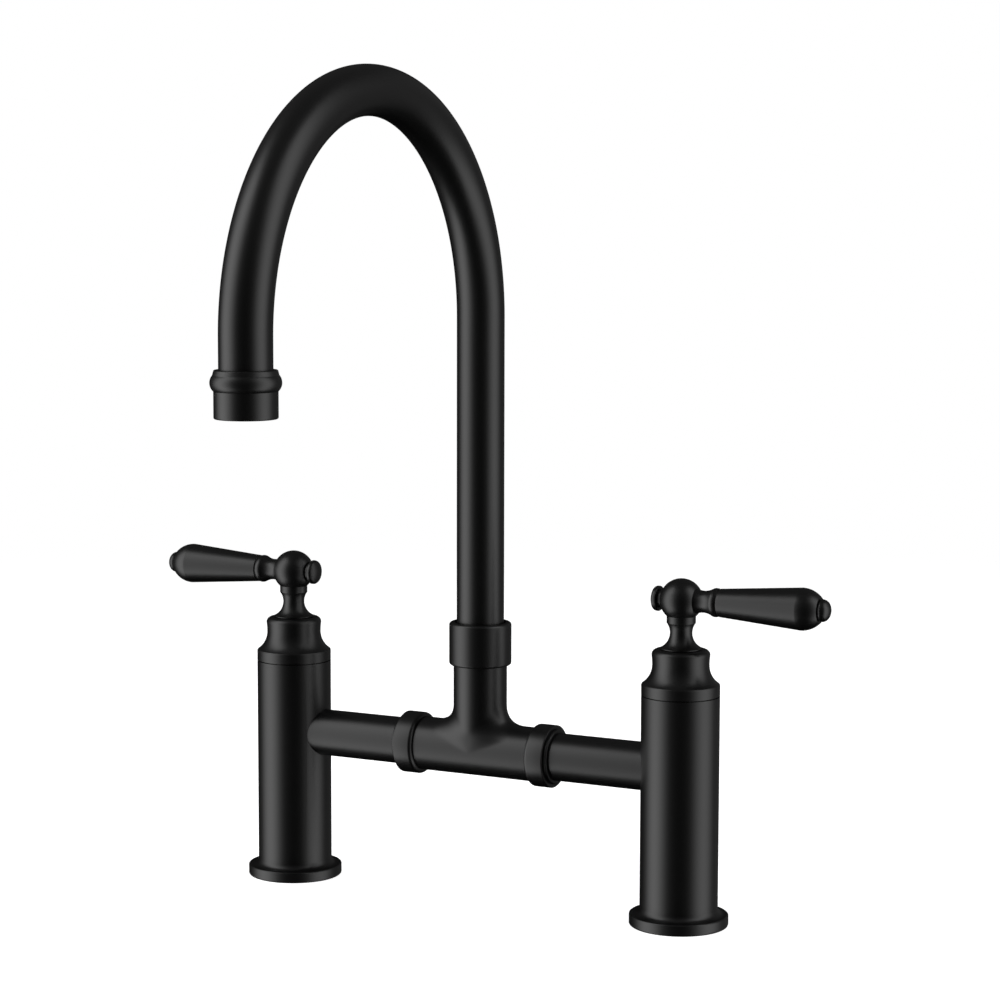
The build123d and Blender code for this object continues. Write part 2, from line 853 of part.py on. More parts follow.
def shank_rings():
    """The two O-rings that seal the swivel."""
    inner = shank_journal - shank_ring_section
    upper, lower = shank_ring_bottoms()
    ring = seal_ring(inner, shank_ring_section, lower, shank_ring_width)
    return ring + Pos(0, 0, upper - lower) * ring


def spout_tube():
    """Swan neck: riser, half-circle arch and down leg, bent from one tube."""
    riser = tube(spout_bore, tube_radius, spout_foot, arch_height)
    down_leg = Pos(0, -spout_reach, 0) * tube(spout_bore, tube_radius, tube_end, arch_height)
    section = Plane.XY.offset(arch_height) * (Circle(tube_radius) - Circle(spout_bore))
    bend_axis = Axis((0, -arch_radius, arch_height), (1, 0, 0))
    arch = revolve(section, bend_axis, 180)
    return riser + arch + down_leg


def at_outlet(part):
    """Move a part from the riser's axis to the outlet's."""
    return Pos(0, -spout_reach, 0) * part


def aerator_housing():
    """Outlet casing: plain skirt, full bead and a tapered lip round the tube."""
    bead_round = arc_radius(bead_swell, bead_height / 2)
    lip_foot_radius = outlet_radius + outlet_lip_flare
    lip_foot_rise = sqrt(bead_round**2 - (bead_round - bead_swell + outlet_lip_flare) ** 2)
    lip_foot = bead_bottom + bead_height / 2 + lip_foot_rise
    lip_top = bead_top + outlet_lip_height
    tube_socket = tube_radius + running_gap
    shelf_radius = spout_bore - assembly_gap
    return turned(
        (aerator_bore, outlet_height),
        (outlet_radius - outlet_round, outlet_height),
        (outlet_radius, outlet_height + outlet_round, outlet_round),
        (outlet_radius, bead_bottom),
        (lip_foot_radius, lip_foot, bead_round),
        (outlet_radius, lip_top - outlet_lip_round),
        (outlet_radius - outlet_lip_round, lip_top, outlet_lip_round),
        (tube_socket, lip_top),
        (tube_socket, tube_end),
        (shelf_radius, tube_end),
        (shelf_radius, outlet_shelf_height),
        (aerator_bore, outlet_shelf_height),
    )


def aerator_washer():
    """Rubber washer above the aerator."""
    return tube(aerator_washer_bore, aerator_radius, aerator_top, outlet_shelf_height)


def aerator_insert():
    """Plastic aerator: sleeve with a perforated mixing plate across its top."""
    bore = aerator_radius - aerator_skin
    body = tube(bore, aerator_radius, aerator_bottom, aerator_top)
    body += column(bore, aerator_top - mixer_plate_thickness, aerator_top)
    hole = Pos(mixer_hole_circle, 0, 0) * column(mixer_hole_radius, aerator_bottom, aerator_top)
    for index in range(mixer_hole_count):
        body -= Rot(0, 0, 360 * index / mixer_hole_count) * hole
    shelf_top = aerator_bottom + aerator_shelf
    return body + tube(bore - aerator_shelf / 2, bore, aerator_bottom, shelf_top)


def screen():
    """Steel screen in the aerator's mouth: hexagonal holes in rings round the middle."""
    bottom = aerator_bottom + aerator_shelf
    plate = column(aerator_radius - aerator_skin - assembly_gap, bottom, bottom + screen_thickness)
    hole = Pos(0, 0, bottom) * extrude(RegularPolygon(screen_hole_radius, 6), screen_thickness)
    for place in honeycomb(2):
        plate -= Pos(*place) * hole
    return plate


def honeycomb(rings):
    """Centres of a hexagonal grid with this many rings round the middle one."""
    centres = []
    for row in range(-rings, rings + 1):
        count = 2 * rings + 1 - abs(row)
        for column_index in range(count):
            x = (column_index - (count - 1) / 2) * screen_pitch
            centres.append((x, row * screen_pitch * sin(radians(60)), 0))
    return centres


def build():
    """Every sub-part by name."""
    parts = {
        "tee": tee(),
        "swivel_collar": swivel_collar(),
        "spout_glide_bush": glide_bush(),
        "spout_thrust_washer": thrust_washer(),
        "spout_shank": spout_shank(),
        "spout_shank_o_rings": shank_rings(),
        "spout_tube": spout_tube(),
        "aerator_housing": at_outlet(aerator_housing()),
        "aerator_washer": at_outlet(aerator_washer()),
        "aerator_insert": at_outlet(aerator_insert()),
        "aerator_screen": at_outlet(screen()),
    }
    for name, side in (("left", -1), ("right", 1)):
        pillar_pieces = {
            "pillar": pillar(),
            "base_gasket": base_gasket(),
            "bonnet": bonnet(),
            "bonnet_glide_ring": glide_ring(),
            "valve_seat_washer": seat_washer(),
            "valve_fixed_disc": fixed_disc(),
            "valve_moving_disc": moving_disc(),
            "valve_body": valve_body(),
            "valve_o_ring": valve_ring(),
            "valve_spindle": spindle(),
            "valve_spindle_o_rings": spindle_rings(),
            "valve_circlip": circlip(),
            "handle_hub": hub(side),
            "handle_grub_screw": grub_screw(side),
            "handle_finial": finial(),
            "lever_ferrule": ferrule(),
            "lever_grip": grip(),
            "lever_rod": lever_rod(),
            "lever_end_cap": end_cap(),
        }
        bridge_pieces = {
            "arm_tube": arm_tube(),
            "coupling_washer": coupling_washer(),
            "coupling_nut": coupling_nut(),
        }
        for piece, shape in pillar_pieces.items():
            parts[f"{name}_{piece}"] = on_pillar(side) * shape
        for piece, shape in bridge_pieces.items():
            parts[f"{name}_{piece}"] = on_bridge(side) * shape
    return parts


def main():
    """Write one STEP file for each sub-part."""
    os.makedirs("parts", exist_ok=True)
    for name, shape in build().items():
        export_step(shape, f"parts/{name}.step")


if __name__ == "__main__":
    main()
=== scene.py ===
"""Looks of the bridge kitchen faucet: finishes, swan neck, coupling nuts, tee and studio."""

import json
import math

import bpy
import bmesh
import numpy as np
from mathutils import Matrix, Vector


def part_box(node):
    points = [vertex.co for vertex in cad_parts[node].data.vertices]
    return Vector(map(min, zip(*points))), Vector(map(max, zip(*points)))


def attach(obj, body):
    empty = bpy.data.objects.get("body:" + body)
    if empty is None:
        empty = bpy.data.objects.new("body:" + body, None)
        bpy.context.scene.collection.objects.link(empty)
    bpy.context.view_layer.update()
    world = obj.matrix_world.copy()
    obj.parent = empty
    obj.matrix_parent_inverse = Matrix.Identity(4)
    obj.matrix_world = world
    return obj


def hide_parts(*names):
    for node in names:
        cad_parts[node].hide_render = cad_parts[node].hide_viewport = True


bl_info = {
    "name": "Bridge Kitchen Faucet",
    "version": (1, 0, 0),
    "blender": (4, 5, 0),
    "location": "View3D > Sidebar > Faucet",
    "description": "Dresses the faucet's packed frame and sets the studio around it",
    "category": "Object",
}

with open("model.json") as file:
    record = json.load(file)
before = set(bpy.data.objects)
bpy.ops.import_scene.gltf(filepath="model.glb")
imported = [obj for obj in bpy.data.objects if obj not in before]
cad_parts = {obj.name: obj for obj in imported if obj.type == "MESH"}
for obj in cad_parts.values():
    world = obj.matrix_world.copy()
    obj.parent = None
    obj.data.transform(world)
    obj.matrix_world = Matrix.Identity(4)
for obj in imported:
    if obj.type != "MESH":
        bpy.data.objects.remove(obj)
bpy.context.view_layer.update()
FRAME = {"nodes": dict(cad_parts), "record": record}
MM = 0.001

COAT = "satin_black_powder_coat"
ROUGHNESS_SPREAD = 0.04

# The camera stands where the photograph was taken from.
CAMERA_PLACE = (0.6016, -1.1455, 0.33205)
CAMERA_YAW = 28.466
CAMERA_PITCH = 6.359
FOCAL_LENGTH = 101.33
SENSOR_WIDTH = 36.0
SHIFT_X = 0.0565

# Both softboxes reach far below the deck and far above the arch. A turn is in degrees.
SOFTBOX_DISTANCE = 2.5
SOFTBOX_LENGTH = 7.25
SOFTBOX_HEIGHT = 0.64
LEFT_TURN = -78.9
LEFT_WIDTH = 4.41
RIGHT_TURN = 67.9
RIGHT_WIDTH = 4.2

# The room's ceiling brightens with height. The card is full and ends at these cosines of the
# angle from its middle.
ROOM_RADIUS = 9.0
CEILING_FOOT = 0.8
CEILING_GLOW = 0.11
CARD_TURN = 135
CARD_EDGE = 0.75
CARD_FULL = 0.95
CARD_GLOW = 0.1

# The paper thins out between two radii, and is lifted to white where it is looked at.
PAPER_RADIUS = 1.4
PAPER_FADE = (0.5, 1.3)
PAPER_LIFT = 0.8
FILL_STRENGTH = 0.3

# The swan neck's end is hidden in the outlet casing, this far above the casing's mouth.
NECK_END_RISE = 10.4 * MM
NECK_WALL = 1.1 * MM

# Inside a coupling nut: play round the arm tube, and depth of the flange's seat behind the lip.
THROAT_PLAY = 0.1 * MM
SEAT_DEPTH = 1.8 * MM

# Meshes of turned pieces, and the distance at which doubles merge.
ROUND_STEPS = 8
TURNED_SIDES = 160
SHARP_ANGLE = math.radians(40)
MERGE_DISTANCE = 0.001 * MM

# The tee's branch is slimmer than its run by a step, and draws back into it below the axis.
BRANCH_STEP = 0.05 * MM
DRAW_BACK = 4 * MM
BLEND_POWER = 1.5
LEAST_REACH = 0.001 * MM
LEAST_RADIUS = 0.1 * MM

# The tee's outer skin is this deep. It moves onto the blend in a few Newton steps.
SKIN_DEPTH = 1.2 * MM
SKIN_STEPS = 6
NUDGE = 0.01 * MM
LEAST_SLOPE = 0.25


def neck_sizes():
    """Radius of the tube, radius of the arch, height of the foot and of the arch's two springs."""
    low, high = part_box("spout_tube")
    tube = (high.x - low.x) / 2
    arch = (high.y - low.y) / 2 - tube
    return tube, arch, low.z, high.z - arch - tube


NECK_RADIUS, ARCH_RADIUS, NECK_FOOT, ARCH_SPRING = neck_sizes()
OUTLET_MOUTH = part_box("aerator_housing")[0].z


# Settings


class FaucetFinish(bpy.types.PropertyGroup):
    """Colours and grain of the coating."""

    coat_colour: bpy.props.StringProperty(
        name="Coat Colour",
        description="Powder coat's colour, as an sRGB hex value",
        default="#020202",
    )
    coat_roughness: bpy.props.FloatProperty(
        name="Coat Roughness",
        description="How wide the satin coat spreads a highlight",
        default=0.37,
        min=0.0,
        max=1.0,
        subtype="FACTOR",
    )
    orange_peel: bpy.props.FloatProperty(
        name="Orange Peel",
        description="Distance between the waves in the cured powder",
        default=1.6 * MM,
        min=0.1 * MM,
        unit="LENGTH",
    )
    orange_peel_height: bpy.props.FloatProperty(
        name="Orange Peel Height",
        description="Height of the waves in the cured powder",
        default=0.004 * MM,
        min=0.0,
        unit="LENGTH",
        precision=6,
    )
    grit: bpy.props.FloatProperty(
        name="Grit",
        description="Size of the matting grains in the powder",
        default=0.3 * MM,
        min=0.05 * MM,
        unit="LENGTH",
        precision=5,
    )


class FaucetNeck(bpy.types.PropertyGroup):
    """Sizes of the swan neck, taken from the frame."""

    tube_radius: bpy.props.FloatProperty(
        name="Tube Radius",
        description="Outer radius of the bent tube",
        default=NECK_RADIUS,
        unit="LENGTH",
    )
    arch_radius: bpy.props.FloatProperty(
        name="Arch Radius",
        description="Radius of the half-circle bend, at the tube's middle",
        default=ARCH_RADIUS,
        unit="LENGTH",
    )
    riser_length: bpy.props.FloatProperty(
        name="Riser Length",
        description="Straight length from the tee to the bend",
        default=ARCH_SPRING - NECK_FOOT,
        unit="LENGTH",
    )
    down_leg_length: bpy.props.FloatProperty(
        name="Down Leg Length",
        description="Straight length from the bend into the outlet casing",
        default=ARCH_SPRING - OUTLET_MOUTH - NECK_END_RISE,
        unit="LENGTH",
    )
    wall: bpy.props.FloatProperty(
        name="Wall",
        description="Thickness of the tube's wall",
        default=NECK_WALL,
        unit="LENGTH",
    )
    ring_spacing: bpy.props.FloatProperty(
        name="Ring Spacing",
        description="Distance between the mesh's rings along the tube",
        default=2.0 * MM,
        unit="LENGTH",
    )
    sides: bpy.props.IntProperty(
        name="Sides",
        description="Faces round the tube",
        default=96,
        min=12,
    )


class FaucetNut(bpy.types.PropertyGroup):
    """Sizes of the coupling nuts."""

    wall: bpy.props.FloatProperty(
        name="Wall",
        description="Thickness of the nut round the tee's run",
        default=1.9 * MM,
        unit="LENGTH",
    )
    tee_set_back: bpy.props.FloatProperty(
        name="Tee Set Back",
        description="How far the wide round starts inside the nut's length on the tee's side",
        default=0.5 * MM,
        unit="LENGTH",
    )
    tee_round: bpy.props.FloatProperty(
        name="Tee Round",
        description="Radius of the wide round on the tee's side",
        default=1.85 * MM,
        unit="LENGTH",
    )
    edge_round: bpy.props.FloatProperty(
        name="Edge Round",
        description="Radius of the body's edge on the arm's side",
        default=0.5 * MM,
        unit="LENGTH",
    )
    lip_length: bpy.props.FloatProperty(
        name="Lip Length",
        description="Length of the lip on the arm's side",
        default=1.6 * MM,
        unit="LENGTH",
    )
    lip_radius: bpy.props.FloatProperty(
        name="Lip Radius",
        description="Outer radius of the lip on the arm's side",
        default=12.8 * MM,
        unit="LENGTH",
    )
    lip_round: bpy.props.FloatProperty(
        name="Lip Round",
        description="Radius of the lip's edge",
        default=0.9 * MM,
        unit="LENGTH",
    )


class FaucetTee(bpy.types.PropertyGroup):
    """Sizes of the tee's cast blend."""

    side_blend: bpy.props.FloatProperty(
        name="Side Blend",
        description="How far the blend reaches onto the run and the branch, at the sides",
        default=10.5 * MM,
        unit="LENGTH",
    )
    front_blend: bpy.props.FloatProperty(
        name="Front Blend",
        description="How far apart the run's and the branch's skins still blend, at the front",
        default=3.5 * MM,
        unit="LENGTH",
    )
    blend_foot: bpy.props.FloatProperty(
        name="Blend Foot",
        description="How far below the run's axis the blend starts, at the front",
        default=1.0 * MM,
        unit="LENGTH",
    )
    blend_rise: bpy.props.FloatProperty(
        name="Blend Rise",
        description="Height over which the blend reaches its full width",
        default=9.0 * MM,
        unit="LENGTH",
    )
    grid: bpy.props.FloatProperty(
        name="Grid",
        description="Size of the faces on the tee's skin",
        default=0.6 * MM,
        min=0.3 * MM,
        unit="LENGTH",
    )


class FaucetStudio(bpy.types.PropertyGroup):
    """Lamps and floor."""

    left_radiance: bpy.props.FloatProperty(
        name="Left Softbox",
        description="Radiance of the left softbox",
        default=2.80,
        min=0.0,
    )
    right_radiance: bpy.props.FloatProperty(
        name="Right Softbox",
        description="Radiance of the right softbox",
        default=2.05,
        min=0.0,
    )
    floor_colour: bpy.props.StringProperty(
        name="Floor Colour",
        description="Paper floor's colour, as an sRGB hex value",
        default="#f0f0f0",
    )


# Helpers


def linear(colour):
    """Linear RGBA of an sRGB hex value."""
    channels = [int(colour[i : i + 2], 16) / 255 for i in (1, 3, 5)]
    scaled = [c / 12.92 if c <= 0.04045 else ((c + 0.055) / 1.055) ** 2.4 for c in channels]
    return (*scaled, 1.0)


def add(tree, kind, inputs=None, **settings):
    """Add a node, with its settings, and its inputs as values or as links."""
    made = tree.nodes.new(kind)
    for name, value in settings.items():
        setattr(made, name, value)
    for key, value in (inputs or {}).items():
        if isinstance(value, bpy.types.NodeSocket):
            tree.links.new(value, made.inputs[key])
        else:
            made.inputs[key].default_value = value
    return made


def material(name):
    """Empty material and its tree."""
    made = bpy.data.materials.new(name)
    made.use_nodes = True
    made.node_tree.nodes.clear()
    return made, made.node_tree


def placed(name, data):
    """Object of a mesh, lamp or camera, linked to the scene."""
    made = bpy.data.objects.new(name, data)
    bpy.context.scene.collection.objects.link(made)
    return made


def plain_mesh(source, name):
    """Mesh of an object with its modifiers applied. The object itself is removed."""
    evaluated = source.evaluated_get(bpy.context.evaluated_depsgraph_get())
    mesh = bpy.data.meshes.new_from_object(evaluated)
    bpy.data.objects.remove(source)
    mesh.name = name
    return mesh


def face_outwards(mesh):
    """Merge a mesh's doubles and point its faces outwards."""
    shape = bmesh.new()
    shape.from_mesh(mesh)
    bmesh.ops.remove_doubles(shape, verts=shape.verts, dist=MERGE_DISTANCE)
    bmesh.ops.recalc_face_normals(shape, faces=shape.faces)
    shape.to_mesh(mesh)
    shape.free()


# Materials


def powder_coat():
    """Satin black polyester powder coat on brass, sprayed and oven-cured.

    It hides the metal, so it is a dielectric: a soft, wide highlight over near black, with a trace
    of orange peel from the cured powder and a fine grit from its matting agent.
    """
    finish = bpy.context.scene.faucet_finish
    made, tree = material(COAT)
    place = add(tree, "ShaderNodeTexCoord").outputs["Object"]
    peel = add(tree, "ShaderNodeTexNoise", {"Vector": place, "Scale": 1 / finish.orange_peel})
    waves = add(
        tree,
        "ShaderNodeBump",
        {"Height": peel.outputs["Fac"], "Distance": finish.orange_peel_height, "Strength": 1.0},
    )
    grit = add(
        tree,
        "ShaderNodeTexNoise",
        {"Vector": place, "Scale": 1 / finish.grit, "Detail": 3.0},
    )
    rough = add(
        tree,
        "ShaderNodeMapRange",
        {
            "Value": grit.outputs["Fac"],
            "To Min": finish.coat_roughness - ROUGHNESS_SPREAD,
            "To Max": finish.coat_roughness + ROUGHNESS_SPREAD,
        },
    )
    # The coat builds up unevenly, over about 30 mm, which shifts its black by a trace.
    build = add(
        tree,
        "ShaderNodeTexNoise",
        {"Vector": place, "Scale": 1 / (30 * MM), "Detail": 1.0},
    )
    colour = add(
        tree,
        "ShaderNodeMix",
        {"Factor": build.outputs["Fac"], "A": linear(finish.coat_colour), "B": linear("#030303")},
        data_type="RGBA",
    )
    shader = add(
        tree,
        "ShaderNodeBsdfPrincipled",
        {
            "Base Color": colour.outputs["Result"],
            "Roughness": rough.outputs["Result"],
            "IOR": 1.5,
            "Normal": waves.outputs["Normal"],
        },
    )
    add(tree, "ShaderNodeOutputMaterial", {"Surface": shader.outputs["BSDF"]})
    return made


def machined_brass():
    """Free-cutting brass, turned on a lathe: warm metal with feed marks round the axis."""
    made, tree = material("machined_brass")
    place = add(tree, "ShaderNodeTexCoord").outputs["Object"]
    # A lathe's feed of about 0.2 mm is too fine to show, so its bands are drawn 1.3 mm apart.
    marks = add(
        tree,
        "ShaderNodeTexWave",
        {"Vector": place, "Scale": 250.0, "Distortion": 0.6, "Detail": 1.0},
        bands_direction="Z",
    )
    lift = add(
        tree,
        "ShaderNodeBump",
        {"Height": marks.outputs["Fac"], "Distance": 0.01 * MM, "Strength": 0.6},
    )
    rough = add(
        tree,
        "ShaderNodeMapRange",
        {"Value": marks.outputs["Fac"], "To Min": 0.24, "To Max": 0.34},
    )
    tarnish = add(tree, "ShaderNodeTexNoise", {"Vector": place, "Scale": 1 / (6 * MM)})
    colour = add(
        tree,
        "ShaderNodeMix",
        {"Factor": tarnish.outputs["Fac"], "A": linear("#e0c27a"), "B": linear("#c9a65c")},
        data_type="RGBA",
    )
    shader = add(
        tree,
        "ShaderNodeBsdfPrincipled",
        {
            "Base Color": colour.outputs["Result"],
            "Metallic": 1.0,
            "Roughness": rough.outputs["Result"],
            "Normal": lift.outputs["Normal"],
        },
    )
    add(tree, "ShaderNodeOutputMaterial", {"Surface": shader.outputs["BSDF"]})
    return made


def stainless_steel():
    """Drawn 304 stainless steel: cool grey metal, faintly clouded by the drawing."""
    made, tree = material("drawn_stainless_steel")
    place = add(tree, "ShaderNodeTexCoord").outputs["Object"]
    cloud = add(
        tree,
        "ShaderNodeTexNoise",
        {"Vector": place, "Scale": 1 / (0.8 * MM), "Detail": 4.0},
    )
    rough = add(
        tree,
        "ShaderNodeMapRange",
        {"Value": cloud.outputs["Fac"], "To Min": 0.26, "To Max": 0.38},
    )
    colour = add(
        tree,
        "ShaderNodeMix",
        {"Factor": cloud.outputs["Fac"], "A": linear("#b9bbbd"), "B": linear("#a9abae")},
        data_type="RGBA",
    )
    shader = add(
        tree,
        "ShaderNodeBsdfPrincipled",
        {
            "Base Color": colour.outputs["Result"],
            "Metallic": 1.0,
            "Roughness": rough.outputs["Result"],
        },
    )
    add(tree, "ShaderNodeOutputMaterial", {"Surface": shader.outputs["BSDF"]})
    return made


def moulded(name, colours, roughness, grain, depth):
    """Moulded rubber, plastic or pressed ceramic: two close colours, a grain and its bump."""
    made, tree = material(name)
    place = add(tree, "ShaderNodeTexCoord").outputs["Object"]
    speckle = add(
        tree,
        "ShaderNodeTexNoise",
        {"Vector": place, "Scale": 1 / grain, "Detail": 3.0},
    ).outputs["Fac"]
    colour = add(
        tree,
        "ShaderNodeMix",
        {"Factor": speckle, "A": linear(colours[0]), "B": linear(colours[1])},
        data_type="RGBA",
    )
    lift = add(tree, "ShaderNodeBump", {"Height": speckle, "Distance": depth, "Strength": 1.0})
    rough = add(
        tree,
        "ShaderNodeMapRange",
        {"Value": speckle, "To Min": roughness - 0.05, "To Max": roughness + 0.05},
    )
    shader = add(
        tree,
        "ShaderNodeBsdfPrincipled",
        {
            "Base Color": colour.outputs["Result"],
            "Roughness": rough.outputs["Result"],
            "IOR": 1.5,
            "Normal": lift.outputs["Normal"],
        },
    )
    add(tree, "ShaderNodeOutputMaterial", {"Surface": shader.outputs["BSDF"]})
    return made


def dress(slot, finish):
    """Give every node that has this material slot in the record a material."""
    parts = FRAME["record"]["subparts"]
    nodes = [part["node"] for part in parts if part["material_slot"] == slot]
    if not nodes:
        raise RuntimeError(f"no node has the material slot {slot}")
    for node in nodes:
        materials = FRAME["nodes"][node].data.materials
        materials.clear()
        materials.append(finish)


# Swan neck


def swan_neck_tree():
    """Node tree of a bent tube: riser, half-circle arch and down leg on one rule."""
    tree = bpy.data.node_groups.new("swan_neck", "GeometryNodeTree")
    sizes = {
        "Tube Radius": "NodeSocketFloat",
        "Arch Radius": "NodeSocketFloat",
        "Riser Length": "NodeSocketFloat",
        "Down Leg Length": "NodeSocketFloat",
        "Foot Height": "NodeSocketFloat",
        "Ring Spacing": "NodeSocketFloat",
        "Sides": "NodeSocketInt",
        "Coat": "NodeSocketMaterial",
    }
    tree.interface.new_socket("Geometry", in_out="OUTPUT", socket_type="NodeSocketGeometry")
    for name, kind in sizes.items():
        tree.interface.new_socket(name, in_out="INPUT", socket_type=kind)
    given = add(tree, "NodeGroupInput").outputs
    value = {name: given[name] for name in sizes}
    value["point"] = add(tree, "GeometryNodeInputIndex").outputs[0]

    # Each row names a value, its sum, and the two values or numbers that go into it.
    sums = (
        # The path's length and steps, and how far along it each of its points lies.
        ("bend length", "MULTIPLY", "Arch Radius", math.pi),
        ("bend end", "ADD", "Riser Length", "bend length"),
        ("length", "ADD", "bend end", "Down Leg Length"),
        ("exact steps", "DIVIDE", "length", "Ring Spacing"),
        ("steps", "CEIL", "exact steps", 0.0),
        ("points", "ADD", "steps", 1.0),
        ("share", "DIVIDE", "point", "steps"),
        ("along", "MULTIPLY", "share", "length"),
        # The angle turned in the bend, and the straight runs before and after it.
        ("past riser", "SUBTRACT", "along", "Riser Length"),
        ("bend begun", "MAXIMUM", "past riser", 0.0),
        ("in bend", "MINIMUM", "bend begun", "bend length"),
        ("angle", "DIVIDE", "in bend", "Arch Radius"),
        ("riser left", "MULTIPLY", "past riser", -1.0),
        ("before", "MAXIMUM", "riser left", 0.0),
        ("past bend", "SUBTRACT", "along", "bend end"),
        ("after", "MAXIMUM", "past bend", 0.0),
        # The point: on a circle, and lower by the straight runs.
        ("cosine", "COSINE", "angle", 0.0),
        ("back", "SUBTRACT", "cosine", 1.0),
        ("depth", "MULTIPLY", "back", "Arch Radius"),
        ("sine", "SINE", "angle", 0.0),
        ("climb", "MULTIPLY", "sine", "Arch Radius"),
        ("spring", "ADD", "Foot Height", "Riser Length"),
        ("on circle", "ADD", "spring", "climb"),
        ("drop", "ADD", "before", "after"),
        ("height", "SUBTRACT", "on circle", "drop"),
    )
    for name, operation, first, second in sums:
        inputs = {0: value.get(first, first), 1: value.get(second, second)}
        value[name] = add(tree, "ShaderNodeMath", inputs, operation=operation).outputs[0]

    points = add(tree, "GeometryNodeMeshLine", {"Count": value["points"]})
    place = add(tree, "ShaderNodeCombineXYZ", {"Y": value["depth"], "Z": value["height"]})
    bent = add(
        tree,
        "GeometryNodeSetPosition",
        {"Geometry": points.outputs["Mesh"], "Position": place.outputs[0]},
    )
    path = add(tree, "GeometryNodeMeshToCurve", {"Mesh": bent.outputs["Geometry"]})
    circle = add(
        tree,
        "GeometryNodeCurvePrimitiveCircle",
        {"Resolution": given["Sides"], "Radius": given["Tube Radius"]},
    )
    swept = add(
        tree,
        "GeometryNodeCurveToMesh",
        {"Curve": path.outputs["Curve"], "Profile Curve": circle.outputs["Curve"]},
    )
    real = add(tree, "GeometryNodeRealizeInstances", {"Geometry": swept.outputs["Mesh"]})
    smooth = add(tree, "GeometryNodeSetShadeSmooth", {"Geometry": real.outputs["Geometry"]})
    coated = add(
        tree,
        "GeometryNodeSetMaterial",
        {"Geometry": smooth.outputs["Geometry"], "Material": given["Coat"]},
    )
    add(tree, "NodeGroupOutput", {"Geometry": coated.outputs["Geometry"]})
    return tree


def grown(name, tree, values):
    """Plain mesh object that a node tree makes from these input values."""
    seed = placed(name + "_seed", bpy.data.meshes.new(name + "_seed"))
    modifier = seed.modifiers.new("Shape", "NODES")
    modifier.node_group = tree
    for item in tree.interface.items_tree:
        if item.in_out == "INPUT":
            modifier[item.identifier] = values[item.name]
    return placed(name, plain_mesh(seed, name))


# Coupling nuts


def rounded(along, out, radius, side):
    """Points of a quarter-circle round at an outline's outer corner, (along, out).

    The side is -1 for a corner towards the tee, where the outline climbs, and 1 for a corner
    towards the arm, where it falls.
    """
    turns = [math.pi / 2 * step / ROUND_STEPS for step in range(ROUND_STEPS + 1)]
    points = [
        (along - side * radius * (1 - math.sin(turn)), out - radius * (1 - math.cos(turn)))
        for turn in turns
    ]
    return points if side > 0 else points[::-1]


def nut_outline(settings, start, end, out):
    """Closed outline of the coupling nut, (along, out), from the tee's side to the arm's."""
    bore = out - settings.wall
    throat = NECK_RADIUS + THROAT_PLAY
    body_end = end - settings.lip_length
    seat = body_end - SEAT_DEPTH
    lip = settings.lip_radius
    return [
        (start, bore),
        *rounded(start, out, settings.tee_round, -1),
        *rounded(body_end, out, settings.edge_round, 1),
        (body_end, lip),
        *rounded(end, lip, settings.lip_round, 1),
        (end, throat),
        (seat, throat),
        (seat, bore),
    ]


def turned(name, outline, axis_height):
    """Mesh object of a closed outline, (along, out), turned about a line along X at a height."""
    shape = bmesh.new()
    turns = [2 * math.pi * side / TURNED_SIDES for side in range(TURNED_SIDES)]
    rings = [
        [
            shape.verts.new((along, out * math.cos(turn), axis_height + out * math.sin(turn)))
            for turn in turns
        ]
        for along, out in outline
    ]
    for ring, following in zip(rings, rings[1:] + rings[:1]):
        for side in range(TURNED_SIDES):
            after = (side + 1) % TURNED_SIDES
            shape.faces.new((ring[side], ring[after], following[after], following[side]))
    mesh = bpy.data.meshes.new(name)
    shape.to_mesh(mesh)
    shape.free()
    face_outwards(mesh)
    mesh.shade_smooth()
    mesh.set_sharp_from_angle(angle=SHARP_ANGLE)
    return placed(name, mesh)


# Tee


def tee_distance(place, run, branch, axis, settings):
    """Distance of places from the tee's skin: the run's and the branch's, blended together."""
    x, y, z = place.T
    rise = z - axis
    out = np.hypot(x, y)
    from_run = np.hypot(y, rise) - run
    # Below the run's axis the branch draws back into the run.
    from_branch = out - branch + np.minimum(rise, 0.0) ** 2 / DRAW_BACK
    share = np.abs(x) / np.maximum(out, LEAST_RADIUS)
    widening = settings.side_blend - settings.front_blend
    reach = settings.front_blend + widening * share**BLEND_POWER
    # The blend starts just below the axis and has its full width higher up.
    risen = np.clip((rise + settings.blend_foot) / settings.blend_rise, 0.0, 1.0)
    reach = reach * risen**2 * (3 - 2 * risen) + LEAST_REACH
    overlap = np.maximum(reach - np.abs(from_run - from_branch), 0.0)
    return np.minimum(from_run, from_branch) - overlap**2 / (4 * reach)


